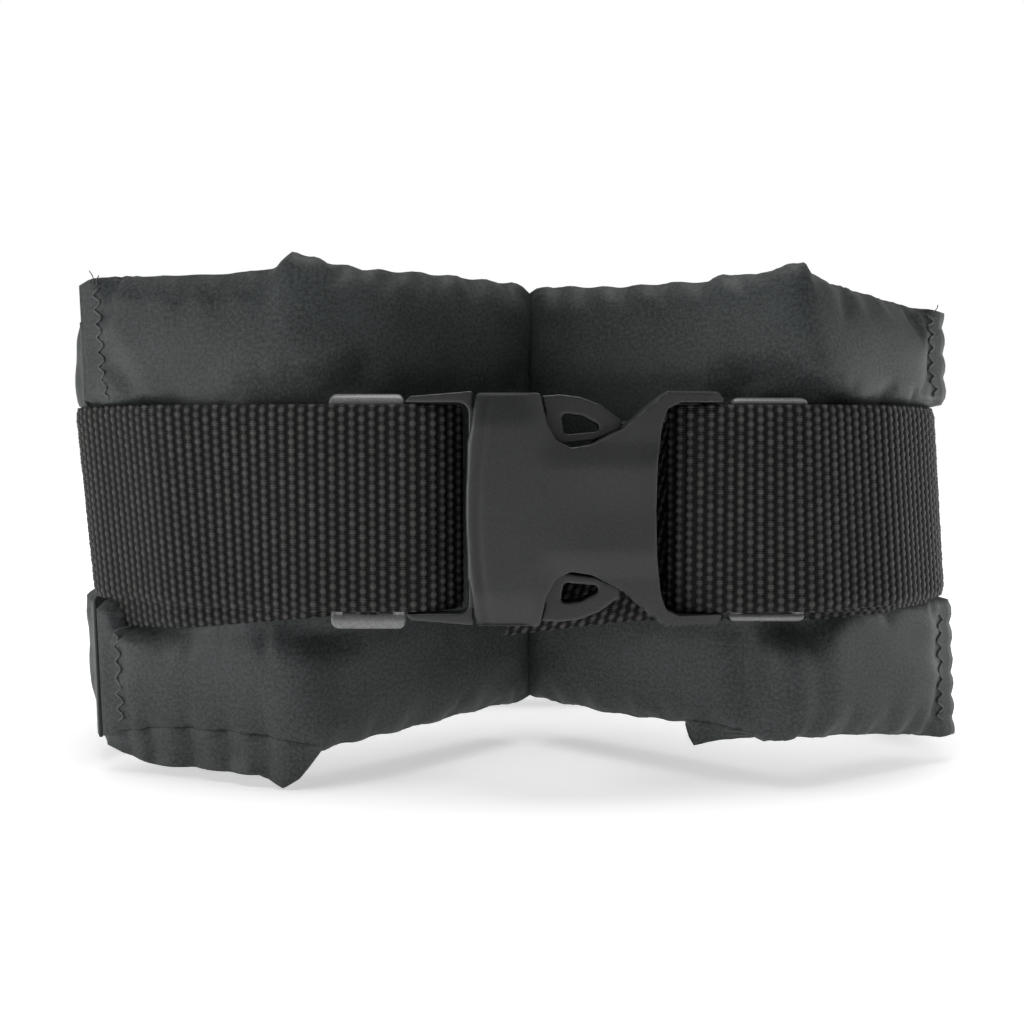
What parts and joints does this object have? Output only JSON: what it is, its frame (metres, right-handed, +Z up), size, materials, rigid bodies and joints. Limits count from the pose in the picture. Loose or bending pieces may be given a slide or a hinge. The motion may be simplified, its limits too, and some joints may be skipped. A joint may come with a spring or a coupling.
{
  "type": "dive weight belt",
  "caption": "Closed ring of webbing with a side-release buckle, sliders and soft fabric pouches of lead shot.",
  "frame": {"origin": "middle of the closed ring at half its height, half way between the buckle's front and the back webbing", "axes": "+X along the front webbing towards the female buckle half, +Y from the buckle to the back of the belt, +Z up along the pouches' height"},
  "size_m": [0.2395, 0.1303, 0.118],
  "materials": {
    "cover_fabric": "plain woven nylon with a slight sheen",
    "bag_fabric": "plain woven",
    "shot": "dull grey",
    "thread": "matte thread",
    "webbing": "coarse ribbed webbing",
    "buckle_plastic": "fine moulded texture",
    "slider_plastic": "smooth and glossy"
  },
  "bodies": {
    "belt": {"front_left_outer_panel": "cover_fabric", "front_left_inner_panel": "cover_fabric", "front_left_shot_bag": "bag_fabric", "front_left_lead_shot": "shot", "front_right_outer_panel": "cover_fabric", "front_right_inner_panel": "cover_fabric", "front_right_shot_bag": "bag_fabric", "front_right_lead_shot": "shot", "right_outer_panel": "cover_fabric", "right_inner_panel": "cover_fabric", "right_shot_bag": "bag_fabric", "right_lead_shot": "shot", "back_outer_panel": "cover_fabric", "back_inner_panel": "cover_fabric", "back_shot_bag": "bag_fabric", "back_lead_shot": "shot", "left_outer_panel": "cover_fabric", "left_inner_panel": "cover_fabric", "left_shot_bag": "bag_fabric", "left_lead_shot": "shot", "pouch_end_stitching": "thread", "strap_bartacks": "thread", "back_box_stitch": "thread", "left_strap": "webbing", "right_strap": "webbing", "buckle_female": "buckle_plastic"},
    "male_half": {"buckle_male": "buckle_plastic"},
    "upper_prong": {"upper_prong": "buckle_plastic"},
    "lower_prong": {"lower_prong": "buckle_plastic"},
    "left_slider": {"left_slider": "slider_plastic"},
    "right_slider": {"right_slider": "slider_plastic"}
  },
  "joints": [
    {"name": "buckle_release", "type": "slide", "parent": "belt", "child": "male_half", "axis": [-1, 0, 0], "range_m": [0, 0.045], "deforming": ["left_strap", "upper_prong", "lower_prong"]},
    {"name": "upper_prong_pinch", "type": "hinge", "parent": "male_half", "child": "upper_prong", "pos_m": [-0.0075, -0.05625, 0.02], "axis": [0, 1, 0], "range_deg": [0, 12]},
    {"name": "lower_prong_pinch", "type": "hinge", "parent": "male_half", "child": "lower_prong", "pos_m": [-0.0075, -0.05625, -0.02], "axis": [0, 1, 0], "range_deg": [-12, 0]},
    {"name": "left_slider_travel", "type": "slide", "parent": "male_half", "child": "left_slider", "axis": [-1, 0, 0], "range_m": [0, 0.01], "deforming": ["left_strap"]},
    {"name": "right_slider_travel", "type": "slide", "parent": "belt", "child": "right_slider", "axis": [1, 0, 0], "range_m": [0, 0.004], "deforming": ["right_strap"]}
  ],
  "couplings": [
    {"joint": "lower_prong_pinch", "follows": "upper_prong_pinch", "ratio": -1}
  ]
}
